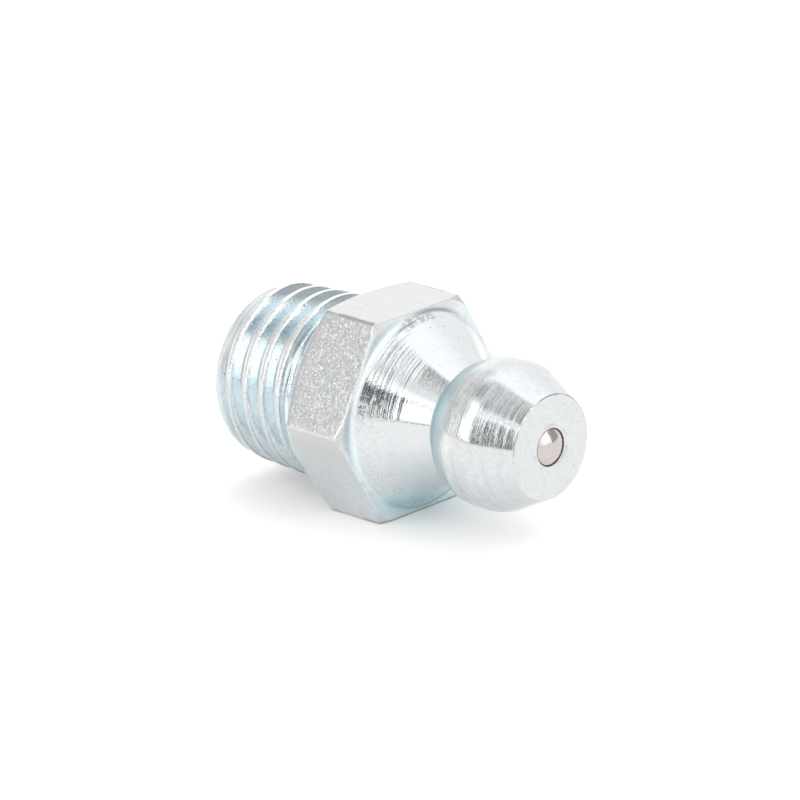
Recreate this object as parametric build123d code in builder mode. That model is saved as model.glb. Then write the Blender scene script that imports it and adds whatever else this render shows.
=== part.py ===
from build123d import *
import math
import os

os.makedirs("parts", exist_ok=True)

# Straight grease nipple, 6.5 mm cone head, M8 x 1 shank.  Millimetres.
# Frame: the axis of the nipple is X, with +X towards the head.  The origin is
# on that axis, in the plane of the hexagon's rear face, where the thread ends.  +Z is the
# outward normal of one hexagon flat, so the nipple lies on the opposite flat,
# which is the plane z = -hex_af / 2.

# ---- driving dimensions ------------------------------------------------------
# shank: M8 x 1 short taper thread, modelled plain at its nominal diameter
thread_major_d = 8.00          # nominal major diameter, at the gauge plane
thread_pitch = 1.0             # for reference: the helix is finer than this model
shank_len = 5.30               # hexagon's rear face to the thread's end
end_chamfer = 0.54             # lead-in chamfer, measured on the radius
end_chamfer_len = 0.75

# hexagon, wrench size 9 (h13)
hex_af = 8.92                  # across flats
hex_len = 3.47
hex_edge_r = 0.14              # drawn-bar corner radius
hex_rear_d = 8.60              # rear face diameter left by the rear 30 deg chamfer
hex_front_d = 9.74             # where the front 30 deg chamfer starts
hex_chamfer_deg = 30.0

# cone between hexagon and neck
cone_base_d = 8.62
cone_slope = 0.77              # radius lost for each millimetre of length
cone_fillet = 0.15             # at the foot of the cone, on the hexagon's face
neck_x = 6.22                  # where the cone's line meets the head's back
neck_fillet = 0.35

# head, 6.5 mm, ISO 6392-1 form
head_d = 6.50
head_back_x = 6.53             # back corner of the head
head_back_r = 2.74
head_back_fillet = 0.28
head_land_back_x = 7.55        # rounded land, back intersection
head_land_front_x = 8.90       # rounded land, front intersection
head_land_r_back = 1.6
head_land_r_front = 1.5
face_x = 10.82                 # front face of the head
face_r = 2.29                  # radius where the front cone meets the face
face_edge_fillet = 0.16

# inlet hole, ball seat and bore
inlet_d = 1.66                 # hole in the front face
inlet_rim = 0.03               # broken edge of the hole
seat_half_deg = 45.0           # conical ball seat
bore_d = 2.80                  # ball and spring bore
ball_d = 2.50
ball_proud = 0.245             # how far the closed ball stands out of the face
seat_gap = 0.012               # running clearance between ball and seat
ball_lift = 1.50               # working travel of the ball, inwards

# rear end: rim staked inwards over the spring
stake_outer_d = 4.60           # outside of the staking groove
stake_bottom_d = 3.84
stake_depth = 0.50
lip_d = 2.10                   # throat of the lip
lip_tip_x = -5.17              # rearmost point of the lip
lip_back_x = -5.05             # inner corner of the lip
lip_root_x = -4.75             # where the lip leaves the bore

# compression spring
wire_d = 0.30
spring_mean_d = 2.30
spring_gap = 0.012             # clearance to the lip and to the ball
end_turns = 1                  # closed turns at each end, a whole number
end_pitch = 0.31
active_turns = 13              # a whole number

# ---- derived -----------------------------------------------------------------
r_thread = thread_major_d / 2
r_bore = bore_d / 2
r_inlet = inlet_d / 2
r_ball = ball_d / 2
r_wire = wire_d / 2
r_mean = spring_mean_d / 2
cone_base_r = cone_base_d / 2
neck_r = cone_base_r - cone_slope * (neck_x - hex_len)
ball_x = face_x + ball_proud - r_ball          # ball centre, closed

# The seat cone touches the ball at the seat angle, seat_gap away from it.
a = math.radians(seat_half_deg)
# cone line: (x - x0) * sin(a) + r * cos(a) = r_ball + seat_gap, normal (sin a, cos a)
seat_front_x = ball_x + (r_ball + seat_gap - r_inlet * math.cos(a)) / math.sin(a)
seat_back_x = ball_x + (r_ball + seat_gap - r_bore * math.cos(a)) / math.sin(a)

# ---- body: one turned and staked piece ------------------------------------------
with BuildPart() as hex_band:
    with BuildSketch(Plane.YZ) as hex_sk:
        RegularPolygon(radius=hex_af / 2, side_count=6, major_radius=False, rotation=0)
        fillet(hex_sk.vertices(), hex_edge_r)
    extrude(amount=hex_len)
    t = math.tan(math.radians(hex_chamfer_deg))
    r_out = hex_af / 2 / math.cos(math.radians(30)) + 0.3
    with BuildSketch(Plane.XY) as turn_sk:
        with BuildLine() as turn_ln:
            Polyline(
                (0, 2.5),
                (0, hex_rear_d / 2),
                ((r_out - hex_rear_d / 2) * t, r_out),
                (hex_len - (r_out - hex_front_d / 2) * t, r_out),
                (hex_len, hex_front_d / 2),
                (hex_len, 2.5),
                close=True,
            )
        make_face()
    revolve(axis=Axis.X, mode=Mode.INTERSECT)

with BuildPart() as body:
    with BuildSketch(Plane.XY) as prof_sk:
        with BuildLine() as prof_ln:
            Polyline(
                # outside, from the thread's end to the face
                (-shank_len, r_thread - end_chamfer),
                (-shank_len + end_chamfer_len, r_thread),
                (hex_len, r_thread),
                (hex_len, cone_base_r),
                (neck_x, neck_r),
                (head_back_x, head_back_r),
                (head_land_back_x, head_d / 2),
                (head_land_front_x, head_d / 2),
                (face_x, face_r),
                # inlet hole, seat and bore
                (face_x, r_inlet + inlet_rim),
                (face_x - inlet_rim, r_inlet),
                (seat_front_x, r_inlet),
                (seat_back_x, r_bore),
                (lip_root_x, r_bore),
                # staked lip and groove
                (lip_back_x, lip_d / 2),
                (lip_tip_x, lip_d / 2 + 0.06),
                (-shank_len + stake_depth, stake_bottom_d / 2 - 0.04),
                (-shank_len + stake_depth, stake_bottom_d / 2 + 0.04),
                (-shank_len, stake_outer_d / 2),
                close=True,
            )
        make_face()

        def near(x, r):
            return prof_sk.vertices().sort_by_distance((x, r, 0))[0]

        fillet(near(neck_x, neck_r), neck_fillet)
        fillet(near(head_back_x, head_back_r), head_back_fillet)
        fillet(near(head_land_back_x, head_d / 2), head_land_r_back)
        fillet(near(head_land_front_x, head_d / 2), head_land_r_front)
        fillet(near(face_x, face_r), face_edge_fillet)
    revolve(axis=Axis.X)
    add(hex_band.part)
    # small root radius at the foot of the cone
    foot = body.edges().filter_by(GeomType.CIRCLE).filter_by(
        lambda e: abs(e.center().X - hex_len) < 1e-4 and abs(e.radius - cone_base_r) < 1e-3
    )
    if len(foot):
        fillet(foot, cone_fillet)
body.part.label = "body"
export_step(body.part, "parts/body.step")

# ---- check ball ----------------------------------------------------------------
with BuildPart() as ball:
    with BuildSketch(Plane.XY) as ball_sk:
        with BuildLine() as ball_ln:
            CenterArc((ball_x, 0), r_ball, 0, 180)
            Line((ball_x - r_ball, 0), (ball_x + r_ball, 0))
        make_face()
    revolve(axis=Axis.X)
ball.part.label = "ball"
export_step(ball.part, "parts/ball.step")

# ---- spring ----------------------------------------------------------------------
# the first turn sits on the sloping inner side of the lip
lip_dx, lip_dr = lip_root_x - lip_back_x, r_bore - lip_d / 2
lip_n = math.hypot(lip_dx, lip_dr)
spring_x0 = lip_back_x + ((r_wire + spring_gap) * lip_n + (r_mean - lip_d / 2) * lip_dx) / lip_dr
# the last turn cups the ball
spring_x1 = ball_x - math.sqrt((r_ball + r_wire + spring_gap) ** 2 - r_mean**2)
end_len = end_turns * end_pitch
active_len = spring_x1 - spring_x0 - 2 * end_len
active_pitch = active_len / active_turns


# closed, active and closed turns: whole numbers of turns, so that each run of the
# wire starts where the one before it ends
spring_runs = (
    (spring_x0, end_pitch, end_len),
    (spring_x0 + end_len, active_pitch, active_len),
    (spring_x1 - end_len, end_pitch, end_len),
)

with BuildPart() as spring:
    joints = []
    for run_x, run_pitch, run_len in spring_runs:
        with BuildLine() as coil_ln:
            coil = Helix(pitch=run_pitch, height=run_len, radius=r_mean,
                         center=(run_x, 0, 0), direction=(1, 0, 0))
        with BuildSketch(Plane(origin=coil @ 0, z_dir=coil % 0)):
            Circle(r_wire)
        sweep(path=coil, is_frenet=True)
        joints.append(coil @ 0)
    # round joints where the pitch changes
    with Locations(*[tuple(p) for p in joints[1:]]):
        Sphere(r_wire)
spring.part.label = "spring"
export_step(spring.part, "parts/spring.step")

print("ball centre x", round(ball_x, 4), "seat", round(seat_back_x, 4), round(seat_front_x, 4))
print("spring wire centres x", round(spring_x0, 4), round(spring_x1, 4), "pitch", round(active_pitch, 4))
for p in (body.part, ball.part, spring.part):
    bb = p.bounding_box()
    print(p.label, "volume", round(p.volume, 3), "valid", p.is_valid, "solids", len(p.solids()),
          "box", [round(v, 3) for v in (*bb.min, *bb.max)], "centre x", round(p.center(CenterOf.MASS).X, 3))
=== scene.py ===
import math

import bpy
import bmesh
import numpy as np
from mathutils import Matrix, Vector


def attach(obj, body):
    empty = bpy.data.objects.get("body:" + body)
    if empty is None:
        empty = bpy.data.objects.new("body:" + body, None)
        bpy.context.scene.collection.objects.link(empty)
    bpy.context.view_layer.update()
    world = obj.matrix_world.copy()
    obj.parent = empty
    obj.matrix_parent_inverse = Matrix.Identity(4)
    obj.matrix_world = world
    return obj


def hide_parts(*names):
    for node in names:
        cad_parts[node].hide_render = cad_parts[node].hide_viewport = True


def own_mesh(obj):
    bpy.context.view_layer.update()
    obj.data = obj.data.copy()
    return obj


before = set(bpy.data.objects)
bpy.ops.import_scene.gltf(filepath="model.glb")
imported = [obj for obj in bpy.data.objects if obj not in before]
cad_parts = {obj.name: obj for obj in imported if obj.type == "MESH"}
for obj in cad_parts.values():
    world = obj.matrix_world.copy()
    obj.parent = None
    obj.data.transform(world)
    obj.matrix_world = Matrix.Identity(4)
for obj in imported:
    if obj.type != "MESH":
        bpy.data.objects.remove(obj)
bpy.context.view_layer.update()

MM = 0.001
rng = np.random.default_rng(41)

# ------------------------------------------------------------------ dimensions (mm)
# the same ones as the CAD source
SHANK_LEN = 5.30
PITCH = 1.0
HEX_AF = 8.92
HEX_LEN = 3.47
HEX_EDGE_R = 0.17
HEX_REAR_R = 4.30
HEX_FRONT_R = 4.87
CONE_BASE_R = 4.31
CONE_SLOPE = 0.77
NECK_X = 6.22
NECK_R = CONE_BASE_R - CONE_SLOPE * (NECK_X - HEX_LEN)
FACE_X = 10.82
HOLE_R = 0.83
BORE_R = 1.40
BALL_R = 1.25
BALL_X = FACE_X + 0.245 - BALL_R
WIRE_R = 0.15
MEAN_R = 1.15
T30 = math.tan(math.radians(30))


# ------------------------------------------------------------------ small helpers
def smax(a, b, k):
    h = np.maximum(k - np.abs(a - b), 0.0) / k
    return np.maximum(a, b) + h * h * k * 0.25


def smin(a, b, k):
    return -smax(-a, -b, k)


def smooth01(t):
    t = np.clip(t, 0.0, 1.0)
    return t * t * (3 - 2 * t)


# the cone is turned in two passes: a steeper foot up to x 4.45, then a flatter run up to the neck
CONE_XS = np.linspace(3.0, 6.6, 721)
CONE_SS = 0.805 + (0.737 - 0.805) * smooth01((CONE_XS - 4.50) / 0.45)
CONE_RS = np.concatenate([[0], -np.cumsum((CONE_SS[1:] + CONE_SS[:-1]) / 2 * np.diff(CONE_XS))])
CONE_RS += CONE_BASE_R - np.interp(HEX_LEN, CONE_XS, CONE_RS)


def cone_r(x):
    return np.interp(x, CONE_XS, CONE_RS)


def fillet_line(points, radii, step, arc_deg):
    """An open (x, r) line with its inner corners rounded, sampled at about step, and at arc_deg on the arcs."""
    out = []

    def put(p):
        if not out or math.hypot(p[0] - out[-1][0], p[1] - out[-1][1]) > 1e-6:
            out.append((float(p[0]), float(p[1])))

    def run(a, b):
        n = max(1, int(round(math.hypot(b[0] - a[0], b[1] - a[1]) / step)))
        for k in range(n + 1):
            put((a[0] + (b[0] - a[0]) * k / n, a[1] + (b[1] - a[1]) * k / n))

    last = points[0]
    for i in range(1, len(points) - 1):
        p, a, b, rad = points[i], points[i - 1], points[i + 1], radii[i]
        u = np.array([a[0] - p[0], a[1] - p[1]], float)
        v = np.array([b[0] - p[0], b[1] - p[1]], float)
        u, v = u / np.linalg.norm(u), v / np.linalg.norm(v)
        if rad <= 0:
            run(last, p)
            last = p
            continue
        half = math.acos(max(-1, min(1, float(u @ v)))) / 2
        t = rad / math.tan(half)
        s, e = np.array(p) + u * t, np.array(p) + v * t
        w = (u + v) / np.linalg.norm(u + v)
        c = np.array(p) + w * rad / math.sin(half)
        run(last, s)
        a0 = math.atan2(s[1] - c[1], s[0] - c[0])
        a1 = math.atan2(e[1] - c[1], e[0] - c[0])
        d = (a1 - a0 + math.pi) % (2 * math.pi) - math.pi
        n = max(2, int(math.ceil(abs(d) * 180 / math.pi / arc_deg)), int(round(abs(d) * rad / step)))
        for k in range(n + 1):
            q = a0 + d * k / n
            put((c[0] + rad * math.cos(q), c[1] + rad * math.sin(q)))
        last = (float(e[0]), float(e[1]))
    run(last, points[-1])
    return np.array(out)


# ------------------------------------------------------------------ columns round the axis
# theta runs from +Y towards +Z.  Flats face 30, 90, 150 ... degrees, corners are at 0, 60, 120 ...
cols = set(np.round(np.arange(198) * 360 / 198, 5))
for c in range(0, 360, 60):
    for d in (0.2, 0.4, 0.62, 0.84, 1.15):
        cols |= {round((c + d) % 360, 5), round((c - d) % 360, 5)}
TH = np.radians(np.array(sorted(cols)))
N = len(TH)
COS, SIN = np.cos(TH), np.sin(TH)


def hex_radius(th, edge_r=HEX_EDGE_R):
    """Radius of the hexagon's outline, and the cosine that turns a radial gap into a distance."""
    a = HEX_AF / 2
    phi = (np.degrees(th) - 30) % 60
    phi = np.where(phi > 30, phi - 60, phi)
    phi = np.abs(np.radians(phi))
    flat = a / np.cos(phi)
    d = (a - edge_r) / math.cos(math.radians(30))
    delta = math.radians(30) - phi
    arc = d * np.cos(delta) + np.sqrt(np.maximum(edge_r**2 - (d * np.sin(delta)) ** 2, 0))
    on_arc = phi > math.atan((a - edge_r) * T30 / a)
    return np.where(on_arc, arc, flat), np.where(on_arc, 1.0, np.cos(phi))


HEX_R, HEX_C = hex_radius(TH)

# ------------------------------------------------------------------ the thread
CREST_X0 = 0.3833      # a crest's place at theta 0, modulo the pitch
DEPTH = 0.50
CREST_HALF = 0.100
FLANK_HEX, FLANK_END = 2.069, 1.471     # a 60 degree thread that leans a little: 25.8 degrees on the hexagon's side, 34.2 on the other


def thread_radius(x, th):
    u = (x - CREST_X0) / PITCH - th / (2 * math.pi)
    d = (u - np.round(u)) * PITCH
    crest = 4.10 + 0.05 * x
    ramp = (np.abs(d) - CREST_HALF) * np.where(d > 0, FLANK_HEX, FLANK_END)
    # the groove gets shallow in its last turn, where it runs out against the hexagon
    depth = DEPTH * (1 - 0.86 * smooth01((x + 1.15) / 0.95))
    cut = smin(smax(ramp, 0 * ramp, 0.05), depth, 0.07)
    r = crest - cut
    # lead-in chamfer at the thread's end
    lead = 3.46 + (x + SHANK_LEN) * 0.62
    return smin(r, lead, 0.06)


U = np.array([-0.478, -0.44, -0.40, -0.25, -0.15, -0.118, -0.09, -0.062, 0.0,
              0.062, 0.09, 0.118, 0.15, 0.21, 0.305, 0.342, 0.38, 0.451])
M = len(U)

verts = []          # (x, r, theta index)
faces = []


def ring(xs, rs):
    """A ring of N vertices, returns its first index."""
    start = len(verts)
    xs = np.broadcast_to(xs, N)
    rs = np.broadcast_to(rs, N)
    for i in range(N):
        verts.append((float(xs[i]), float(rs[i]), i))
    return start


def loft(a, b):
    for i in range(N):
        j = (i + 1) % N
        faces.append((a + i, a + j, b + j, b + i))


X_END, X_HEX = -SHANK_LEN, 0.0
end_ring = ring(X_END, thread_radius(np.full(N, X_END), TH))
hex_ring = ring(X_HEX, thread_radius(np.full(N, X_HEX), TH))
made = {}


def feature(i, m):
    """Vertex of helical row m in column i."""
    x = CREST_X0 + PITCH * (TH[i] / (2 * math.pi) + m // M + U[m % M])
    if x <= X_END + 0.014:
        return end_ring + i
    if x >= X_HEX - 0.014:
        return hex_ring + i
    key = (i, m)
    if key not in made:
        made[key] = len(verts)
        verts.append((x, float(thread_radius(np.array([x]), np.array([TH[i]]))[0]), i))
    return made[key]


m_lo, m_hi = -8 * M, 2 * M
for i in range(N):
    j = (i + 1) % N
    shift = M if j == 0 else 0
    for m in range(m_lo, m_hi):
        q = [feature(i, m), feature(j, m + shift), feature(j, m + 1 + shift), feature(i, m + 1)]
        p = [v for k, v in enumerate(q) if v != q[k - 1]]
        if len(p) >= 3 and len(set(p)) == len(p):
            faces.append(tuple(p))

# ------------------------------------------------------------------ hexagon and the cone's foot
CX, CR = 1.75, 3.55      # inside point that the rows are projected from


def hex_field(x, r):
    rear = smax(-x, (r - HEX_REAR_R) * 0.5 - x * math.cos(math.radians(30)), 0.06)
    side = (r - HEX_R) * HEX_C
    front = smax(x - HEX_LEN, (x - HEX_LEN) * math.cos(math.radians(30)) + (r - HEX_FRONT_R) * 0.5, 0.05)
    band = smax(smax(rear, side, 0.10), front, 0.085)
    cone = (r - cone_r(x)) * math.cos(math.atan(CONE_SLOPE))
    cone = np.maximum(cone, HEX_LEN - 0.012 - x)
    return smin(band, cone, 0.15)


xc = (HEX_R - HEX_REAR_R) * T30
p1 = (np.zeros(N), np.full(N, HEX_REAR_R))
p2 = (xc, HEX_R)
xf = HEX_LEN - np.maximum((HEX_R - HEX_FRONT_R) * T30, 0.012)
p3 = (xf, HEX_R)
p4 = (np.full(N, HEX_LEN), np.minimum(HEX_R, HEX_FRONT_R) - 0.012)
p5 = (np.full(N, HEX_LEN), np.full(N, CONE_BASE_R))
anchors = []


def along(a, b, dist=None, frac=None, back=False):
    """Anchor row on the line a to b, at a distance from a (or from b) or at a fraction."""
    lx, lr = b[0] - a[0], b[1] - a[1]
    ln = np.hypot(lx, lr)
    t = np.broadcast_to(frac, N) if frac is not None else np.minimum(dist, 0.45 * ln) / ln
    if back:
        t = 1 - t
    anchors.append((a[0] + lx * t, a[1] + lr * t))


along((np.zeros(N), np.full(N, 4.16)), p1, frac=0.3)
along((np.zeros(N), np.full(N, 4.16)), p1, dist=0.03, back=True)
along(p1, p2, dist=0.0)
along(p1, p2, dist=0.035)
for f in (0.35, 0.65):
    along(p1, p2, frac=f)
for d in (0.07, 0.04, 0.018):
    along(p1, p2, dist=d, back=True)
anchors.append(p2)
for d in (0.018, 0.04, 0.075):
    along(p2, p3, dist=d)
for f in np.linspace(0.06, 0.94, 9):
    along(p2, p3, frac=f)
for d in (0.085, 0.055, 0.03, 0.012):
    along(p2, p3, dist=d, back=True)
anchors.append(p3)
for f in (0.33, 0.67):
    along(p3, p4, frac=f)
anchors.append(p4)
span = p4[1] - p5[1]
for d in (0.022, 0.05):
    along(p4, p5, dist=np.minimum(d, 0.25 * span))
for f in (0.45, 0.62, 0.76, 0.89):
    along(p4, p5, frac=f)
anchors.append(p5)
for d in (0.035, 0.075, 0.12, 0.17, 0.23, 0.30, 0.37):
    ln = math.hypot(1, CONE_SLOPE)
    anchors.append((np.full(N, HEX_LEN + d / ln), np.full(N, cone_r(HEX_LEN + d / ln))))

AX = np.array([a[0] for a in anchors])
AR = np.array([a[1] for a in anchors])
dx, dr = AX - CX, AR - CR
t0, t1 = np.full(AX.shape, 0.6), np.full(AX.shape, 1.5)
for _ in range(40):
    tm = (t0 + t1) / 2
    out = hex_field(CX + dx * tm, CR + dr * tm) > 0
    t1 = np.where(out, tm, t1)
    t0 = np.where(out, t0, tm)
HX, HR = CX + dx * t1, CR + dr * t1

prev = hex_ring
r_at_hex = np.array([verts[hex_ring + i][1] for i in range(N)])
for f in (0.08, 0.5):
    rr = ring(0.0, r_at_hex + (4.19 - r_at_hex) * f)
    loft(prev, rr)
    prev = rr
for k in range(len(anchors)):
    rr = ring(HX[k], HR[k])
    loft(prev, rr)
    prev = rr

# ------------------------------------------------------------------ cone, neck, head, face
def straight(x):
    return CONE_BASE_R - CONE_SLOPE * (x - HEX_LEN)


cone_at = HEX_LEN + 0.37 / math.hypot(1, CONE_SLOPE)
front = fillet_line(
    [(cone_at, straight(cone_at)), (NECK_X + 0.05, straight(NECK_X + 0.05)), (6.55, 2.74), (7.55, 3.25), (8.90, 3.25), (FACE_X, 2.29),
     (FACE_X, HOLE_R + 0.06)],
    [0, 0.16, 0.28, 1.6, 1.5, 0.10, 0], 0.07, 12)
# tool marks deep enough to see: (place on x, depth, half width)
GROOVES = [(4.62, 0.0022, 0.034), (4.83, 0.0030, 0.040), (5.03, 0.0020, 0.036), (8.87, 0.0035, 0.045), (9.52, 0.0034, 0.040),
           (10.08, 0.0026, 0.045), (10.44, 0.0042, 0.042)]
line = [tuple(p) for p in front]
for gx, gd, gw in GROOVES:
    at = max(k for k in range(len(line)) if line[k][0] <= gx and line[k][1] > 2.1)
    near = [k for k in range(len(line)) if abs(line[k][0] - gx) < 2.6 * gw and line[k][1] > 2.1]
    k0, k1 = (near[0], near[-1]) if near else (at + 1, at)
    p0, p1 = line[k0 - 1], line[k1 + 1]
    px = [q[0] for q in line[k0 - 1:k1 + 2]]
    pr = [q[1] for q in line[k0 - 1:k1 + 2]]
    new = [(gx + t * gw, float(np.interp(gx + t * gw, px, pr))) for t in (-2.2, -1.4, -0.9, -0.45, 0, 0.45, 0.9, 1.4, 2.2)]
    line[k0:k1 + 1] = [q for q in new if p0[0] + 0.008 < q[0] < p1[0] - 0.008]
front = np.array(line)
for gx, gd, gw in GROOVES:
    outer = front[:, 1] > 2.1
    front[outer, 1] -= (gd * np.exp(-((front[:, 0] - gx) / gw) ** 2))[outer]
on_cone = front[:, 0] < NECK_X
front[on_cone, 1] += (cone_r(front[:, 0]) - straight(front[:, 0]))[on_cone]
for x, r in front[1:]:
    rr = ring(x, r)
    loft(prev, rr)
    prev = rr

# inlet rim, hole, seat, bore, staked lip, groove and end face
seat = math.radians(45)
HOLE_V = HOLE_R - 0.035     # the edge of the inlet, drawn in a little when the end was finished
seat_front = BALL_X + (BALL_R + 0.012 - HOLE_V * math.cos(seat)) / math.sin(seat)
seat_back = BALL_X + (BALL_R + 0.012 - BORE_R * math.cos(seat)) / math.sin(seat)
inner = [(FACE_X, HOLE_R + 0.06), (FACE_X - 0.001, HOLE_V + 0.058), (FACE_X - 0.0035, HOLE_V + 0.032),
         (FACE_X - 0.0075, HOLE_V + 0.013), (FACE_X - 0.0120, HOLE_V + 0.0035), (seat_front, HOLE_V)]
n = 4
inner += [(seat_front + (seat_back - seat_front) * k / n, HOLE_V + (BORE_R - HOLE_V) * k / n) for k in range(1, n + 1)]
inner += [(x, BORE_R) for x in (10.1, 9.0, 6.5, 4.0, 1.5, -1.5, -3.6, -4.5, -4.72, -4.75)]
inner += [(-4.85, 1.283), (-4.95, 1.166), (-5.05, 1.05), (-5.09, 1.052), (-5.13, 1.065), (-5.155, 1.09), (-5.168, 1.13)]
inner += [(-5.13, 1.22), (-5.02, 1.42), (-4.90, 1.66), (-4.83, 1.82), (-4.80, 1.88), (-4.80, 1.96)]
inner += [(-4.86, 2.00), (-5.0, 2.09), (-5.15, 2.19), (-5.27, 2.275), (-5.292, 2.295), (-5.30, 2.33)]
inner += [(-5.30, r) for r in (2.42, 2.7, 2.98)]
# the last rows follow the outline that the thread's groove leaves on the end face
END_R = thread_radius(np.full(N, X_END), TH)
inner += [(-5.30, END_R - d) for d in (0.20, 0.09, 0.035)]
for x, r in inner[1:]:
    rr = ring(x, r)
    loft(prev, rr)
    prev = rr
loft(prev, end_ring)

V = np.array([(v[0], v[1]) for v in verts])
VI = np.array([v[2] for v in verts])
co = np.column_stack([V[:, 0], V[:, 1] * COS[VI], V[:, 1] * SIN[VI]])
# nothing stands out past the hexagon's flats
for deg in (30, 90, 150):
    nrm = np.array([0.0, math.cos(math.radians(deg)), math.sin(math.radians(deg))])
    over = co @ nrm
    co -= np.outer(np.sign(over) * np.maximum(np.abs(over) - (HEX_AF / 2 - 0.0003), 0), nrm)


def make_mesh(name, co, faces, materials):
    me = bpy.data.meshes.new(name)
    me.from_pydata([tuple(p) for p in (co * MM).tolist()], [], faces)
    me.validate()
    me.update()
    ob = bpy.data.objects.new(name, me)
    bpy.context.scene.collection.objects.link(ob)
    for m in materials:
        me.materials.append(m)
    me.shade_smooth()
    return ob


# ------------------------------------------------------------------ node helpers
class Nodes:
    """Short hand for building a node tree."""

    def __init__(self, tree):
        self.t = tree
        self.n = tree.nodes
        self.l = tree.links

    def new(self, kind, **props):
        node = self.n.new(kind)
        for k, v in props.items():
            setattr(node, k, v)
        return node

    def put(self, socket, value):
        if isinstance(value, bpy.types.NodeSocket):
            self.l.new(value, socket)
        elif value is not None:
            socket.default_value = value

    def math(self, op, a, b=None, c=None, clamp=False):
        node = self.new("ShaderNodeMath", operation=op, use_clamp=clamp)
        for k, v in enumerate((a, b, c)):
            if v is not None:
                self.put(node.inputs[k], v)
        return node.outputs[0]

    def step(self, x, lo, hi, to_lo=0.0, to_hi=1.0, kind="SMOOTHSTEP"):
        node = self.new("ShaderNodeMapRange", interpolation_type=kind)
        node.clamp = True
        for k, v in zip(("Value", "From Min", "From Max", "To Min", "To Max"), (x, lo, hi, to_lo, to_hi)):
            self.put(node.inputs[k], v)
        return node.outputs["Result"]

    def band(self, x, lo, hi, soft):
        up_ = self.step(x, lo - soft, lo + soft)
        dn = self.step(x, hi - soft, hi + soft, 1.0, 0.0)
        return self.math("MULTIPLY", up_, dn)

    def mul(self, *xs):
        r = xs[0]
        for x in xs[1:]:
            r = self.math("MULTIPLY", r, x)
        return r

    def mix(self, fac, a, b):
        node = self.new("ShaderNodeMix", data_type="FLOAT")
        self.put(node.inputs[0], fac)
        self.put(node.inputs[2], a)
        self.put(node.inputs[3], b)
        return node.outputs[0]

    def mix_rgb(self, fac, a, b, kind="MIX"):
        node = self.new("ShaderNodeMix", data_type="RGBA", blend_type=kind)
        self.put(node.inputs[0], fac)
        self.put(node.inputs[6], a)
        self.put(node.inputs[7], b)
        return node.outputs[2]

    def noise(self, vec, scale, detail=2.0, rough=0.5, dims="3D", w=None):
        node = self.new("ShaderNodeTexNoise", noise_dimensions=dims)
        if vec is not None:
            self.put(node.inputs["Vector"], vec)
        if w is not None:
            self.put(node.inputs["W"], w)
        self.put(node.inputs["Scale"], scale)
        self.put(node.inputs["Detail"], detail)
        self.put(node.inputs["Roughness"], rough)
        return node.outputs["Fac"]

    def xyz(self, x, y, z):
        node = self.new("ShaderNodeCombineXYZ")
        for k, v in enumerate((x, y, z)):
            self.put(node.inputs[k], v)
        return node.outputs[0]


def start_material(name):
    m = bpy.data.materials.new(name)
    m.use_nodes = True
    m.node_tree.nodes.clear()
    k = Nodes(m.node_tree)
    out = k.new("ShaderNodeOutputMaterial")
    bsdf = k.new("ShaderNodeBsdfPrincipled")
    k.l.new(bsdf.outputs[0], out.inputs[0])
    return m, k, bsdf


def object_mm(k):
    """Position in the row frame, in millimetres, as a vector and its three parts."""
    tc = k.new("ShaderNodeTexCoord")
    sc = k.new("ShaderNodeVectorMath", operation="SCALE")
    k.l.new(tc.outputs["Object"], sc.inputs[0])
    sc.inputs["Scale"].default_value = 1000.0
    sp = k.new("ShaderNodeSeparateXYZ")
    k.l.new(sc.outputs[0], sp.inputs[0])
    return sc.outputs[0], sp.outputs[0], sp.outputs[1], sp.outputs[2]


# ------------------------------------------------------------------ materials
def radial(k, y, z):
    return k.math("SQRT", k.math("ADD", k.math("MULTIPLY", y, y), k.math("MULTIPLY", z, z)))


def facets(k, vec, scale, amount, base):
    """Tilts the normal by a fixed random amount in every small crystal."""
    vor = k.new("ShaderNodeTexVoronoi", voronoi_dimensions="3D", feature="F1")
    k.put(vor.inputs["Vector"], vec)
    vor.inputs["Scale"].default_value = scale
    sub = k.new("ShaderNodeVectorMath", operation="SUBTRACT")
    k.l.new(vor.outputs["Color"], sub.inputs[0])
    sub.inputs[1].default_value = (0.5, 0.5, 0.5)
    scl = k.new("ShaderNodeVectorMath", operation="SCALE")
    k.l.new(sub.outputs[0], scl.inputs[0])
    k.put(scl.inputs["Scale"], amount)
    add = k.new("ShaderNodeVectorMath", operation="ADD")
    k.l.new(scl.outputs[0], add.inputs[0])
    k.l.new(base, add.inputs[1])
    nrm = k.new("ShaderNodeVectorMath", operation="NORMALIZE")
    k.l.new(add.outputs[0], nrm.inputs[0])
    return nrm.outputs[0]


def spot(k, v, p, size, ragged):
    """1 inside a small ragged mark round the point p, 0 outside."""
    d = k.new("ShaderNodeVectorMath", operation="DISTANCE")
    k.l.new(v, d.inputs[0])
    d.inputs[1].default_value = p
    dist = k.math("ADD", d.outputs["Value"], k.math("MULTIPLY", ragged, size * 1.2))
    return k.step(dist, size * 1.3, size * 0.9)


# small stains and dings, in millimetres in the part's frame
MARKS_BODY = [((-2.29, 1.27, 3.65), 0.10), ((-4.85, -3.37, 0.67), 0.07), ((-3.94, -3.71, -0.11), 0.06), ((4.47, -2.8, -2.16), 0.06),
              ((4.21, -2.54, -2.74), 0.07), ((10.82, 0.89, 1.69), 0.06), ((10.82, 1.39, -1.14), 0.05), ((3.47, 3.77, 2.23), 0.09),
              ((7.4, 1.9, -2.6), 0.06), ((5.2, 2.2, 1.9), 0.05), ((-1.6, 3.2, -2.2), 0.08), ((9.3, 2.6, 1.1), 0.05)]


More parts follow.
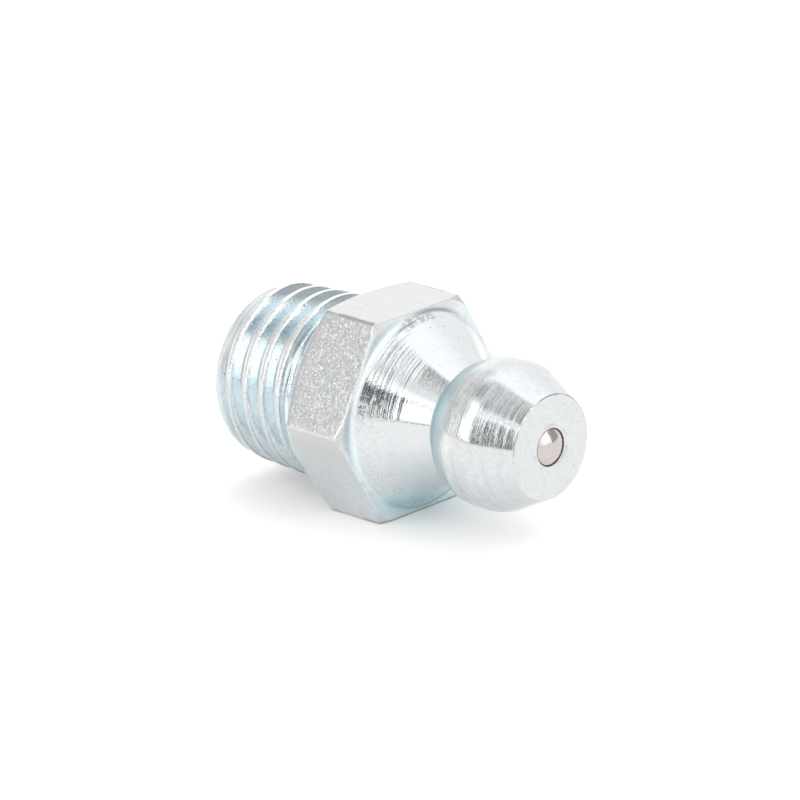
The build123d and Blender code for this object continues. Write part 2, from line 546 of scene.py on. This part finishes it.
def turned_zinc():
    """Lathe-turned and rolled surfaces: feed marks round the axis under bright zinc."""
    m, k, bsdf = start_material("zinc_turned")
    v, x, y, z = object_mm(k)
    r = radial(k, y, z)
    thread = k.step(x, 0.02, -0.03)
    hexa = k.mul(k.step(x, -0.03, 0.02), k.step(x, HEX_LEN + 0.02, HEX_LEN - 0.03))
    face = k.step(x, FACE_X - 0.03, FACE_X - 0.012)
    # feed marks: noise that is stretched round the axis
    ring_w = k.math("ADD", x, k.math("MULTIPLY", r, -0.55))
    wide = k.xyz(k.math("MULTIPLY", ring_w, 6.5), k.math("MULTIPLY", y, 0.14), k.math("MULTIPLY", z, 0.14))
    fine = k.xyz(k.math("MULTIPLY", ring_w, 19.0), k.math("MULTIPLY", y, 0.5), k.math("MULTIPLY", z, 0.5))
    n1 = k.noise(wide, 1.0, 1.0, 0.5)
    n2 = k.noise(fine, 1.0, 2.0, 0.6)
    # on the head the mottle is drawn out round the axis
    mottle = k.mix(k.step(x, 6.4, 7.4), k.noise(v, 8.5, 2.0, 0.62),
                   k.noise(k.xyz(k.math("MULTIPLY", ring_w, 12.0), k.math("MULTIPLY", y, 3.2), k.math("MULTIPLY", z, 3.2)), 1.0, 2.0, 0.62))
    grain = k.noise(v, 17.0, 1.0, 0.5)
    # feed marks are strong where the two cone passes meet and on the front of the head, weak elsewhere
    upper = k.step(z, 1.9, 2.7)
    rings = k.math("ADD", k.mul(k.band(x, 3.50, 5.02, 0.15), k.mix(upper, k.step(x, 4.3, 4.6, 0.22, 0.85), 1.6)), k.mul(k.band(x, 7.9, 10.7, 0.5), k.step(z, 1.2, 1.9, 0.85, 1.7)))
    rings = k.math("ADD", rings, 0.07)
    blotch = k.math("ADD", k.math("ADD", k.math("MULTIPLY", k.band(x, 3.6, 4.65, 0.2), k.mix(upper, 0.10, 0.8)), k.math("MULTIPLY", k.band(x, 6.7, 10.7, 0.3), 0.90)),
                    k.math("MULTIPLY", thread, k.step(z, 2.1, 2.8, 0.75, 1.5)))
    h = k.math("MULTIPLY", k.math("ADD", k.math("MULTIPLY", n1, 1.0), k.math("MULTIPLY", n2, k.step(x, 6.0, 7.0, 0.34, 0.75))), rings)
    h = k.math("ADD", h, k.math("MULTIPLY", mottle, k.math("MULTIPLY_ADD", blotch, 0.72, k.step(x, 4.8, 5.1, 0.28, 0.10))))
    h = k.math("ADD", h, k.math("MULTIPLY", grain, k.step(x, 4.8, 5.1, 0.24, 0.12)))
    # faint rings round the inlet and across the face
    h = k.math("ADD", h, k.mul(face, k.noise(k.xyz(k.math("MULTIPLY", r, 9.0), k.math("MULTIPLY", y, 0.2), k.math("MULTIPLY", z, 0.2)),
                                             1.0, 2.0, 0.6), 0.6))
    # painted reflection: dark streaks along the feed marks on the camera side of the cone, standing in for a reflected
    # dark gap
    cut = k.noise(k.xyz(k.math("MULTIPLY", ring_w, 12.0), k.math("MULTIPLY", y, 0.50), k.math("MULTIPLY", z, 0.50)), 1.0, 1.0, 0.4)
    cut = k.mul(k.step(cut, 0.57, 0.66), k.band(x, 3.55, 4.72, 0.12), k.step(z, 0.62, 1.0), k.step(y, k.step(x, 3.7, 4.0, 1.2, -1.2), k.step(x, 3.7, 4.0, 0.4, -2.0)))
    # the underside of the cone is smoother
    h = k.mul(h, k.mix(k.mul(k.band(x, 3.3, 6.2, 0.1), k.step(z, 0.5, -0.5)), 1.0, 0.35))
    bump = k.new("ShaderNodeBump")
    bump.inputs["Strength"].default_value = 1.0
    bump.inputs["Distance"].default_value = 0.0000070
    k.l.new(h, bump.inputs["Height"])
    k.l.new(bump.outputs[0], bsdf.inputs["Normal"])
    bsdf.inputs["Metallic"].default_value = 1.0

    cloud = k.noise(v, 0.9, 3.0, 0.6)
    col = k.mix_rgb(k.step(cloud, 0.35, 0.65), (0.628, 0.670, 0.688, 1), (0.650, 0.672, 0.681, 1))
    haze = k.noise(v, 2.4, 4.0, 0.68)
    # the thread keeps more of the blue passivation
    col = k.mix_rgb(thread, col, k.mix_rgb(k.step(z, 0.8, 1.2), (0.708, 0.798, 0.842, 1), k.mix_rgb(k.step(z, 2.4, 2.9), (0.712, 0.760, 0.780, 1), (0.640, 0.748, 0.792, 1))))
    # painted shade: the neck is tinted dark teal, fading lighter onto the head's rear shoulder; part the plating's
    # tint, part painted shade in the groove between cone and head
    neck = k.mul(k.step(x, 6.05, 6.13), k.step(x, 7.85, 6.95))
    col = k.mix_rgb(neck, col, k.mix_rgb(k.step(x, 6.7, 7.5), (0.385, 0.51, 0.555, 1), (0.52, 0.61, 0.64, 1)))
    col = k.mix_rgb(k.band(x, 6.78, 8.15, 0.2), col, k.mix_rgb(k.step(x, 7.05, 7.95), (0.54, 0.665, 0.705, 1), (0.735, 0.76, 0.76, 1)))
    # the hexagon's front face and the foot of the cone, and painted shade low down on the cone
    foot = k.mul(k.band(x, 3.40, 3.62, 0.05), k.step(r, 4.0, 4.1))
    col = k.mix_rgb(foot, col, (0.730, 0.792, 0.815, 1))
    # painted shade: a dark line on top in the crease where the hexagon's front face meets the cone, mixed with a dark
    # mottled patch just beside it
    top_crease_shade = k.mul(k.band(x, 3.475, 3.545, 0.02), k.step(r, 4.0, 4.1), k.band(k.math("ADD", y, k.math("MULTIPLY", cloud, 0.8)), 0.0, 2.5, 0.7), k.step(z, 3.2, 3.5))
    patch = k.mul(k.band(k.math("ADD", x, k.math("MULTIPLY", haze, 0.3)), 3.66, 3.98, 0.05), k.band(y, -1.15, 0.6, 0.35), k.step(z, 3.0, 3.4))
    patch = k.mul(patch, k.step(k.noise(v, 4.5, 3.0, 0.7), 0.38, 0.54))
    col = k.mix_rgb(k.mul(k.math("MAXIMUM", top_crease_shade, patch), 0.72), col, (0.27, 0.29, 0.30, 1))
    # painted reflection: the dark streaks on the camera side of the cone
    col = k.mix_rgb(k.mul(cut, 0.75), col, (0.20, 0.20, 0.215, 1))
    # painted shade: low down on the cone the colour turns teal, standing in for the reflected shadow on the floor
    low = k.mul(k.band(x, 3.5, 6.0, 0.2), k.step(k.math("ADD", z, k.math("MULTIPLY", cloud, 0.8)), -2.1, -3.2))
    col = k.mix_rgb(low, col, (0.575, 0.715, 0.755, 1))
    # painted shade: darker teal still at the bottom of the cone's foot, nearest the floor
    lower = k.mul(k.band(x, 3.55, 5.2, 0.06), k.step(k.math("ADD", z, k.math("MULTIPLY", cloud, 0.5)), -2.9, -3.5))
    col = k.mix_rgb(k.mul(lower, 0.75), col, (0.40, 0.57, 0.63, 1))
    # thread crests are rubbed light and rough, roots are dull
    top = k.math("MULTIPLY_ADD", x, 0.05, 4.10)
    depth = k.math("SUBTRACT", top, r)
    rag = k.noise(v, 10.0, 2.0, 0.6)
    crest = k.mul(thread, k.step(k.math("ADD", depth, k.math("MULTIPLY", rag, 0.05)), 0.060, 0.034), k.step(x, -5.05, -4.9))
    root = k.mul(thread, k.step(k.math("ADD", depth, k.math("MULTIPLY", rag, -0.06)), 0.395, 0.425), k.step(x, -5.0, -4.8))
    col = k.mix_rgb(crest, col, k.mix_rgb(k.step(rag, 0.34, 0.54), (0.69, 0.70, 0.70, 1), (0.89, 0.895, 0.895, 1)))
    # painted shade: on the lower half of the thread the crests are darker and bluer
    col = k.mix_rgb(k.mul(thread, k.step(z, 1.0, 0.2), k.step(depth, 0.10, 0.05)), col, (0.71, 0.765, 0.785, 1), "MULTIPLY")
    col = k.mix_rgb(k.mul(root, 0.4), col, (0.50, 0.485, 0.47, 1))
    # the worn end of the thread, and the rubbed chamfer at the front of the hexagon
    end = k.step(x, -4.70, -4.90)
    rim = k.mul(thread, k.band(k.math("ADD", depth, k.math("MULTIPLY", rag, 0.06)), 0.068, 0.100, 0.010), k.step(k.noise(v, 3.0, 2.0, 0.6), 0.40, 0.55))
    col = k.mix_rgb(k.mul(rim, 0.55), col, (0.34, 0.33, 0.315, 1))
    col = k.mix_rgb(k.mul(k.step(x, -4.86, -5.02), 0.8), col, (0.640, 0.645, 0.640, 1))
    # painted reflection: the top of the thread, on its +Y side, is a little darker
    col = k.mix_rgb(k.mul(thread, k.step(y, -1.0, -0.2), k.step(z, 3.2, 3.6), 0.15), col, (0.53, 0.53, 0.52, 1))
    chamfer = k.mul(k.step(x, 3.28, 3.34), k.step(x, 3.468, 3.452), k.step(r, 4.36, 4.40))
    col = k.mix_rgb(k.mul(chamfer, k.step(z, -1.2, 0.4, 0.6, 1.0)), col, k.mix_rgb(k.step(rag, 0.40, 0.60), (0.56, 0.55, 0.53, 1), (0.68, 0.67, 0.65, 1)))
    # brown-grey line where the face meets the head, a stain painted stronger on the upper half as a dark reflection;
    # and a painted shade ring at the inlet edge
    e1 = k.math("ADD", k.math("ABSOLUTE", k.math("SUBTRACT", r, 2.275)), k.math("ABSOLUTE", k.math("SUBTRACT", x, FACE_X - 0.015)))
    line = k.mul(k.step(k.math("ADD", e1, k.math("MULTIPLY", rag, 0.10)), 0.115, 0.075), k.step(k.noise(v, 2.6, 2.0, 0.6), 0.37, 0.53))
    col = k.mix_rgb(k.mul(line, k.step(z, -0.4, 0.6, 0.10, 0.72)), col, (0.368, 0.336, 0.320, 1))
    # painted shade: a dark ring at the inlet edge, standing in for the shadowed gap round the ball
    inlet = k.mul(k.step(r, HOLE_V + 0.060, HOLE_V + 0.034), k.step(x, 9.8, 10.0))
    col = k.mix_rgb(inlet, col, (0.128, 0.104, 0.088, 1))
    halo = k.mul(face, k.band(k.math("ADD", r, k.math("MULTIPLY", rag, 0.22)), 0.98, 1.16, 0.06), k.step(k.noise(v, 1.5, 2.0, 0.6), 0.44, 0.60))
    col = k.mix_rgb(k.mul(halo, 0.42), col, (0.36, 0.38, 0.38, 1))
    # painted shade: the inside of the bore and seat is darkened
    inside = k.mul(k.step(r, 1.46, 1.42), k.step(x, 10.70, 10.6))
    col = k.mix_rgb(inside, col, (0.240, 0.224, 0.208, 1))
    col = k.mix_rgb(k.mul(k.step(haze, 0.50, 0.72, 0.0, 0.55), k.mix(neck, 1.0, 0.15)), col, (0.588, 0.580, 0.572, 1))
    # fine salt and pepper in the plating
    pepper = k.noise(v, 13.0, 2.0, 0.7)
    col = k.mix_rgb(k.step(pepper, 0.44, 0.62, 0.0, k.mix(k.band(x, 6.6, 10.8, 0.3), 0.16, 0.22)), col, (0.40, 0.40, 0.40, 1))
    # specks: sparse small stains, and the listed marks
    dots = k.new("ShaderNodeTexVoronoi", voronoi_dimensions="3D", feature="F1")
    k.put(dots.inputs["Vector"], v)
    dots.inputs["Scale"].default_value = 1.7
    speck = k.mul(k.step(dots.outputs["Distance"], 0.085, 0.05), k.step(k.noise(v, 0.7, 1.0, 0.5), 0.47, 0.53))
    for p, size in MARKS_BODY:
        speck = k.math("MAXIMUM", speck, spot(k, v, p, size, rag))
    col = k.mix_rgb(k.mul(speck, 0.72), col, (0.288, 0.248, 0.208, 1))
    # painted reflection: dark streaks on the upper half of the head, on the camera side; and a painted bluer tint on
    # everything that faces down
    dark_reflection_streaks = k.noise(k.xyz(k.math("MULTIPLY", ring_w, 11.0), k.math("MULTIPLY", y, 0.55), k.math("MULTIPLY", z, 0.55)), 1.0, 2.0, 0.55)
    dark_reflection_streaks = k.mul(k.step(dark_reflection_streaks, 0.50, 0.64), k.band(x, 7.3, 10.72, 0.25), k.step(z, 0.3, 0.9), k.step(y, -0.9, -1.9))
    col = k.mix_rgb(k.mul(dark_reflection_streaks, 0.30), col, (0.40, 0.40, 0.405, 1))
    # painted reflection: a bluer tint on the cone and the head's front where they face down
    col = k.mix_rgb(k.mul(k.step(z, 0.3, -0.6), k.math("MAXIMUM", k.band(x, 3.4, 6.2, 0.1), k.mul(k.step(x, 8.1, 8.7), k.step(x, FACE_X - 0.03, FACE_X - 0.06)))), col, (1.02, 1.045, 1.055, 1), "MULTIPLY")
    # painted shade: the underside of the head's shoulder a little darker
    col = k.mix_rgb(k.mul(k.band(x, 6.9, 8.2, 0.3), k.step(z, 0.3, -0.8)), col, (0.955, 0.965, 0.97, 1), "MULTIPLY")
    # cloudy patches and soft arcs low on the head and on the face
    arcs = k.noise(k.xyz(k.math("MULTIPLY", ring_w, 3.2), k.math("MULTIPLY", y, 0.35), k.math("MULTIPLY", z, 0.35)), 1.0, 2.0, 0.5)
    col = k.mix_rgb(k.mul(k.band(x, 7.4, 10.72, 0.2), k.step(z, 0.6, -0.2), k.step(arcs, 0.46, 0.60), 0.30), col, (0.50, 0.52, 0.53, 1))
    dull = k.mul(k.step(x, 7.2, 8.0), k.step(k.noise(v, 3.6, 4.0, 0.7), 0.50, 0.64))
    col = k.mix_rgb(k.mul(dull, 0.22), col, (0.47, 0.45, 0.435, 1))
    # painted shadow: a dark contact line along the edge that stands on the table
    col = k.mix_rgb(k.mul(k.band(x, 3.3, 3.6, 0.03), k.step(k.math("ADD", z, k.math("MULTIPLY", rag, 0.05)), -4.32, -4.40), 0.6), col, (0.13, 0.125, 0.13, 1))
    k.l.new(col, bsdf.inputs["Base Color"])
    rough = k.step(k.noise(v, 2.2, 3.0, 0.6), 0.3, 0.7, 0.045, 0.085)
    # the neck and the head's shoulder were not reached by the finishing cut
    rough = k.mix(k.band(x, 6.5, 8.35, 0.35), rough, 0.22)
    rough = k.mix(k.band(x, 8.3, 10.8, 0.3), rough, 0.10)
    rough = k.mix(k.mul(k.band(x, 3.55, 4.5, 0.15), k.step(k.noise(v, 4.2, 2.0, 0.6), 0.50, 0.60), k.step(z, 1.9, 1.5)), rough, 0.40)
    rough = k.mix(neck, rough, 0.62)
    rough = k.mix(foot, rough, 0.48)
    rough = k.mix(crest, rough, 0.26)
    rough = k.mix(root, rough, 0.34)
    rough = k.mix(end, rough, 0.38)
    rough = k.mix(chamfer, rough, 0.60)
    rough = k.mix(k.mul(line, 0.9), rough, 0.40)
    rough = k.mix(face, rough, 0.20)
    rough = k.mix(k.math("MAXIMUM", speck, inlet), rough, 0.5)
    k.l.new(rough, bsdf.inputs["Roughness"])
    return m


def flat_zinc():
    """Hexagon flats: drawn bar, satin under the zinc, with sparkling crystals."""
    m, k, bsdf = start_material("zinc_drawn")
    v, x, y, z = object_mm(k)
    r = radial(k, y, z)
    geo = k.new("ShaderNodeNewGeometry")
    big = facets(k, v, 10.0, 0.066, geo.outputs["Normal"])
    small = facets(k, v, 19.0, 0.092, big)
    g1 = k.noise(v, 9.0, 3.0, 0.65)
    g2 = k.noise(v, 24.0, 2.0, 0.6)
    h = k.math("ADD", k.math("MULTIPLY", g1, 1.0), k.math("MULTIPLY", g2, 0.35))
    bump = k.new("ShaderNodeBump")
    bump.inputs["Strength"].default_value = 1.0
    bump.inputs["Distance"].default_value = 0.000009
    k.l.new(h, bump.inputs["Height"])
    k.l.new(small, bump.inputs["Normal"])
    k.l.new(bump.outputs[0], bsdf.inputs["Normal"])
    bsdf.inputs["Metallic"].default_value = 1.0
    cloud = k.noise(v, 0.8, 3.0, 0.6)
    col = k.mix_rgb(k.step(cloud, 0.35, 0.65), (0.620, 0.636, 0.644, 1), (0.640, 0.644, 0.644, 1))
    # edges: rubbed and stained line along the corners and along the front edge
    rag = k.noise(v, 9.0, 2.0, 0.6)
    some = k.step(k.noise(v, 1.1, 2.0, 0.5), 0.36, 0.56)
    front = k.math("SUBTRACT", HEX_LEN, k.math("MULTIPLY", k.math("MAXIMUM", k.math("SUBTRACT", r, HEX_FRONT_R), 0.0), T30))
    df = k.math("ADD", k.math("ABSOLUTE", k.math("SUBTRACT", front, x)), k.math("MULTIPLY", rag, 0.06))
    stain = k.mul(k.step(df, 0.085, 0.050), some)
    corner = k.mul(k.step(k.math("ADD", r, k.math("MULTIPLY", rag, 0.06)), 5.105, 5.135), some)
    # the side corners are rubbed light, the others are stained
    side = k.step(k.math("ABSOLUTE", z), 1.2, 0.8)
    rubbed = k.math("MAXIMUM", k.step(df, 0.080, 0.045), k.mul(side, k.step(k.math("ADD", r, k.math("MULTIPLY", rag, 0.08)), 5.02, 5.09), 0.45))
    stain = k.math("MAXIMUM", stain, k.mul(corner, k.math("SUBTRACT", 1.0, side), 1.5))
    dots = k.new("ShaderNodeTexVoronoi", voronoi_dimensions="3D", feature="F1")
    k.put(dots.inputs["Vector"], v)
    dots.inputs["Scale"].default_value = 1.3
    speck = k.mul(k.step(dots.outputs["Distance"], 0.07, 0.04), k.step(k.noise(v, 0.6, 1.0, 0.5), 0.47, 0.53))
    haze = k.noise(v, 2.2, 4.0, 0.68)
    col = k.mix_rgb(k.step(haze, 0.50, 0.72, 0.0, 0.5), col, (0.584, 0.576, 0.568, 1))
    col = k.mix_rgb(k.mul(stain, 0.42), col, (0.300, 0.262, 0.240, 1))
    col = k.mix_rgb(k.mul(rubbed, 0.6), col, (0.60, 0.59, 0.57, 1))
    col = k.mix_rgb(k.mul(speck, 0.6), col, (0.320, 0.280, 0.248, 1))
    # lower flats: painted reflection, a little more blue; and grainy
    col = k.mix_rgb(k.step(z, -0.6, -2.2, 0.0, 0.8), col, (1.02, 1.105, 1.13, 1), "MULTIPLY")
    grit = k.mul(k.step(z, -0.3, -0.9), k.step(k.noise(v, 7.0, 4.0, 0.75), 0.46, 0.62))
    col = k.mix_rgb(k.mul(grit, 0.30), col, (0.46, 0.455, 0.45, 1))
    k.l.new(col, bsdf.inputs["Base Color"])
    k.l.new(k.mix(k.math("MAXIMUM", k.math("MAXIMUM", stain, rubbed), speck), 0.13, 0.36), bsdf.inputs["Roughness"])
    return m


def ball_steel():
    m, k, bsdf = start_material("ball_polished")
    v, x, y, z = object_mm(k)
    cloud = k.noise(v, 1.4, 2.0, 0.5)
    col = k.mix_rgb(k.step(cloud, 0.3, 0.7), (0.520, 0.483, 0.462, 1), (0.545, 0.504, 0.483, 1))
    k.l.new(col, bsdf.inputs["Base Color"])
    bsdf.inputs["Metallic"].default_value = 1.0
    k.l.new(k.step(k.noise(v, 6.0, 3.0, 0.6), 0.3, 0.7, 0.13, 0.18), bsdf.inputs["Roughness"])
    bump = k.new("ShaderNodeBump")
    bump.inputs["Strength"].default_value = 1.0
    bump.inputs["Distance"].default_value = 0.0000004
    k.l.new(k.noise(v, 30.0, 2.0, 0.5), bump.inputs["Height"])
    k.l.new(bump.outputs[0], bsdf.inputs["Normal"])
    return m


def wire_steel():
    m, k, bsdf = start_material("spring_wire")
    v, x, y, z = object_mm(k)
    cloud = k.noise(v, 3.0, 2.0, 0.5)
    col = k.mix_rgb(k.step(cloud, 0.3, 0.7), (0.400, 0.400, 0.408, 1), (0.448, 0.444, 0.440, 1))
    k.l.new(col, bsdf.inputs["Base Color"])
    bsdf.inputs["Metallic"].default_value = 1.0
    bsdf.inputs["Roughness"].default_value = 0.24
    bump = k.new("ShaderNodeBump")
    bump.inputs["Strength"].default_value = 1.0
    bump.inputs["Distance"].default_value = 0.000002
    k.l.new(k.noise(v, 24.0, 2.0, 0.5), bump.inputs["Height"])
    k.l.new(bump.outputs[0], bsdf.inputs["Normal"])
    return m


TURNED, FLAT, BALL, WIRE = turned_zinc(), flat_zinc(), ball_steel(), wire_steel()

body = make_mesh("nipple_body_turned", co, faces, [TURNED, FLAT])
# the flats of the hexagon take the drawn finish
me = body.data
for p in me.polygons:
    c = p.center
    nx = p.normal.x
    if 0.0 < c.x < HEX_LEN * MM and abs(nx) < 0.30 and math.hypot(c.y, c.z) > 4.40 * MM:
        p.material_index = 1
wn = body.modifiers.new("normals", "WEIGHTED_NORMAL")
wn.mode = "FACE_AREA"
wn.weight = 50
wn.keep_sharp = True
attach(body, "nipple")
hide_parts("body")

# ------------------------------------------------------------------ check ball
def ball_mesh():
    bm = bmesh.new()
    bmesh.ops.create_icosphere(bm, subdivisions=6, radius=BALL_R)
    pts = np.array([v.co[:] for v in bm.verts])
    bm.verts.ensure_lookup_table()
    tri = [[v.index for v in f.verts] for f in bm.faces]
    bm.free()
    pts = pts / np.linalg.norm(pts, axis=1, keepdims=True) * BALL_R
    return pts + np.array([BALL_X, 0, 0]), tri


bco, btri = ball_mesh()
ball = make_mesh("check_ball_polished", bco, btri, [BALL])
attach(ball, "check_ball")
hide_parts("ball")


# ------------------------------------------------------------------ spring
def spring_mesh():
    """Round wire along the same coil as the CAD spring: one closed turn, active turns, one closed turn."""
    lip_dx, lip_dr = -4.75 + 5.05, BORE_R - 1.05
    lip_n = math.hypot(lip_dx, lip_dr)
    x0 = -5.05 + ((WIRE_R + 0.012) * lip_n + (MEAN_R - 1.05) * lip_dx) / lip_dr
    x1 = BALL_X - math.sqrt((BALL_R + WIRE_R + 0.012) ** 2 - MEAN_R**2)
    end, turns = 0.31, 13
    act = (x1 - x0 - 2 * end) / turns
    per = 30
    total = (turns + 2) * per
    t = np.arange(total + 1) / per
    xs = np.where(t < 1, x0 + t * end, np.where(t < turns + 1, x0 + end + (t - 1) * act, x1 - end + (t - 1 - turns) * end))
    # soften the change of pitch a little
    for _ in range(6):
        xs[1:-1] = (xs[:-2] + 2 * xs[1:-1] + xs[2:]) / 4
    a = t * 2 * math.pi
    # the CAD helix starts on +Z or +Y: the same start angle is read from its mesh below
    lo = np.array([v.co[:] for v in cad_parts["spring"].data.vertices]) * 1000
    first = lo[lo[:, 0] < x0 + 0.02]
    start = math.atan2(first[:, 2].mean(), first[:, 1].mean())
    a = a + start
    c = np.column_stack([xs, MEAN_R * np.cos(a), MEAN_R * np.sin(a)])
    tan = np.gradient(c, axis=0)
    tan /= np.linalg.norm(tan, axis=1, keepdims=True)
    rad = np.column_stack([np.zeros_like(a), np.cos(a), np.sin(a)])
    rad -= tan * (rad * tan).sum(1, keepdims=True)
    rad /= np.linalg.norm(rad, axis=1, keepdims=True)
    bi = np.cross(tan, rad)
    k = 14
    ph = np.arange(k) * 2 * math.pi / k
    pts, fc = [], []
    for i in range(len(c)):
        for q in ph:
            pts.append(c[i] + WIRE_R * (math.cos(q) * rad[i] + math.sin(q) * bi[i]))
    for i in range(len(c) - 1):
        for j in range(k):
            jj = (j + 1) % k
            fc.append((i * k + j, i * k + jj, (i + 1) * k + jj, (i + 1) * k + j))
    for i, flip in ((0, True), (len(c) - 1, False)):
        # a slightly rounded cut end
        off = tan[i] * (-0.03 if flip else 0.03)
        ring_i = len(pts)
        for q in ph:
            pts.append(c[i] + off + 0.78 * WIRE_R * (math.cos(q) * rad[i] + math.sin(q) * bi[i]))
        mid = len(pts)
        pts.append(c[i] + off * 1.2)
        for j in range(k):
            jj = (j + 1) % k
            q4 = (i * k + j, i * k + jj, ring_i + jj, ring_i + j)
            t3 = (ring_i + j, ring_i + jj, mid)
            fc.append(tuple(reversed(q4)) if flip else q4)
            fc.append(tuple(reversed(t3)) if flip else t3)
    return np.array(pts), fc, x0


sco, sfc, spring_x0 = spring_mesh()
spring = make_mesh("check_spring_coil", sco, sfc, [WIRE])
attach(spring, "nipple")
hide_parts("spring")
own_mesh(spring)
print("body", len(verts), "verts", sum(len(f) - 2 for f in faces), "tris, ball", len(btri), "spring", sum(len(f) - 2 for f in sfc), "columns", N)

# ------------------------------------------------------------------ floor
FLOOR_Z = -HEX_AF / 2
bm = bmesh.new()
bmesh.ops.create_grid(bm, x_segments=8, y_segments=8, size=1.6)
floor_me = bpy.data.meshes.new("floor_sheet")
bm.to_mesh(floor_me)
bm.free()
floor = bpy.data.objects.new("floor_sheet", floor_me)
bpy.context.scene.collection.objects.link(floor)
floor.location = (0, 0, FLOOR_Z * MM)
fm, fkn, fb = start_material("floor_white")
fb.inputs["Base Color"].default_value = (0.97, 0.966, 0.958, 1)
fb.inputs["Roughness"].default_value = 0.9
fb.inputs["Specular IOR Level"].default_value = 0.2
fb.inputs["Emission Color"].default_value = (1.0, 0.86, 0.83, 1)
fb.inputs["Emission Strength"].default_value = 0.12
floor_me.materials.append(fm)

# ------------------------------------------------------------------ light: a white tent with a few darker gaps
world = bpy.data.worlds.new("studio")
bpy.context.scene.world = world
world.use_nodes = True
world.node_tree.nodes.clear()
w = Nodes(world.node_tree)
wout = w.new("ShaderNodeOutputWorld")
wbg = w.new("ShaderNodeBackground")
w.l.new(wbg.outputs[0], wout.inputs[0])
tc = w.new("ShaderNodeTexCoord")
sp = w.new("ShaderNodeSeparateXYZ")
w.l.new(tc.outputs["Generated"], sp.inputs[0])
dx_, dy_, dz_ = sp.outputs
DEG = 180 / math.pi
el = w.math("MULTIPLY", w.math("ARCSINE", dz_), DEG)
az = w.math("MULTIPLY", w.math("ARCTAN2", dx_, w.math("MULTIPLY", dy_, -1.0)), DEG)   # 0 towards -Y, 90 towards +X
# part of the direction towards the back, azimuth 185
qb = w.math("ADD", w.math("MULTIPLY", dx_, math.sin(math.radians(185))), w.math("MULTIPLY", dy_, -math.cos(math.radians(185))))

L = 1.22
# ceiling coordinates: where the direction meets a flat ceiling one unit up, cy towards the camera side
up_z = w.math("MAXIMUM", dz_, 0.02)
cx = w.math("DIVIDE", dx_, up_z)
cy = w.math("DIVIDE", w.math("MULTIPLY", dy_, -1.0), up_z)
# front panels: the left one is the brightest
L = w.mix(w.mul(w.band(az, -40, 60, 1.0), w.step(el, 60, 52)), L, w.mix(w.mul(w.band(az, 2.5, 30.0, 2.0), w.step(el, 35, 40)), w.math("ADD", w.mix(w.mul(w.step(az, 30, 36), w.step(el, 33, 40)), 1.52, 1.00), w.mul(w.band(az, -40, 4, 1.0), w.band(el, 14, 46, 5), 0.12)), 0.98))
L = w.mul(L, w.mix(w.mul(w.band(az, -9, 3.5, 1.5), w.step(el, 52, 44)), 1.0, 0.84))
# backdrop, a little weaker low down
L = w.mix(w.mul(w.math("MAXIMUM", w.step(az, -75, -125), w.step(az, 140, 185)), w.step(el, 74, 20)), L, 1.00)
# left of the front panel
L = w.mix(w.mul(w.band(az, -132, -39.5, 1.0), w.step(cx, -0.82, -0.88), w.step(cy, -0.62, -0.54)), L, 0.64)
# the bright side panel
L = w.mix(w.mul(w.band(az, 78, 122.0, 1.0), w.band(el, -1, 41, 1.5)), L, 1.60)
# the dark strip of ceiling between the overhead and the front panel
right = w.math("MULTIPLY_ADD", cy, 0.3155, 0.452)
near = w.math("MULTIPLY_ADD", cx, 0.25, 0.72)
strip = w.mul(w.step(cy, -0.15, -0.03), w.step(cy, w.math("ADD", near, 0.05), w.math("SUBTRACT", near, 0.03)),
              w.step(cx, w.math("ADD", right, 0.02), w.math("SUBTRACT", right, 0.02)), w.step(cx, -1.5, -0.9), w.step(el, 24, 30))
L = w.mix(strip, L, w.step(cx, 0.16, 0.28, 0.85, 0.41))
L = w.mix(w.mul(strip, w.band(cy, 0.08, 0.50, 0.10), w.band(cx, -0.75, -0.24, 0.2)), L, 0.35)
# dark gap, camera, and the darker room behind on the right
L = w.mix(w.mul(w.band(az, 3.0, 19.0, 1.0), w.band(el, -2, 37, 1.5)), L, 0.265)
L = w.mix(w.mul(w.step(w.math("SUBTRACT", az, w.math("MULTIPLY", el, 0.12)), 33.5, 34.5), w.step(az, 58.5, 57.5), w.band(el, -2, 29, 1.0)), L, 0.19)
L = w.mix(w.mul(w.band(az, 122.5, 164.0, 1.0), w.band(el, -2, 37, 1.5)), L, 0.47)
# the far edge of the table, and a little less light just over it
L = w.mul(L, w.step(el, 1.0, 13, 0.90, 1.0))
L = w.mix(w.mul(w.band(az, -44, 119, 1.0), w.band(el, -0.6, 1.3, 0.3)), L, 0.36)
w.l.new(w.mul(L, 1.25), wbg.inputs["Strength"])
wbg.inputs["Color"].default_value = (1.0, 1.0, 1.0, 1)

bpy.context.scene.view_settings.view_transform = "Standard"
bpy.context.scene.view_settings.look = "None"
bpy.context.scene.view_settings.exposure = 0.0
bpy.context.scene.view_settings.gamma = 1.0

# ------------------------------------------------------------------ camera
AZ, EL, ROLL = math.radians(43.72), math.radians(19.27), math.radians(-1.30)
CAM_D, CAM_TX, CAM_TZ = 341.7, 1.612, -0.320
back = Vector((math.sin(AZ) * math.cos(EL), -math.cos(AZ) * math.cos(EL), math.sin(EL)))
right = (-back).cross(Vector((0, 0, 1))).normalized()
up = right.cross(-back).normalized()
right, up = (right * math.cos(ROLL) + up * math.sin(ROLL)), (up * math.cos(ROLL) - right * math.sin(ROLL))
cam_data = bpy.data.cameras.new("camera")
cam_data.sensor_width = 36.0
cam_data.lens = 23.565 * CAM_D / 800 * 36.0
cam_data.clip_start, cam_data.clip_end = 0.01, 20
cam = bpy.data.objects.new("camera", cam_data)
bpy.context.scene.collection.objects.link(cam)
cam.matrix_world = Matrix.Translation((right * CAM_TX + up * CAM_TZ + back * CAM_D) * MM) @ Matrix((
    (right.x, up.x, back.x, 0), (right.y, up.y, back.y, 0), (right.z, up.z, back.z, 0), (0, 0, 0, 1)))
bpy.context.scene.camera = cam
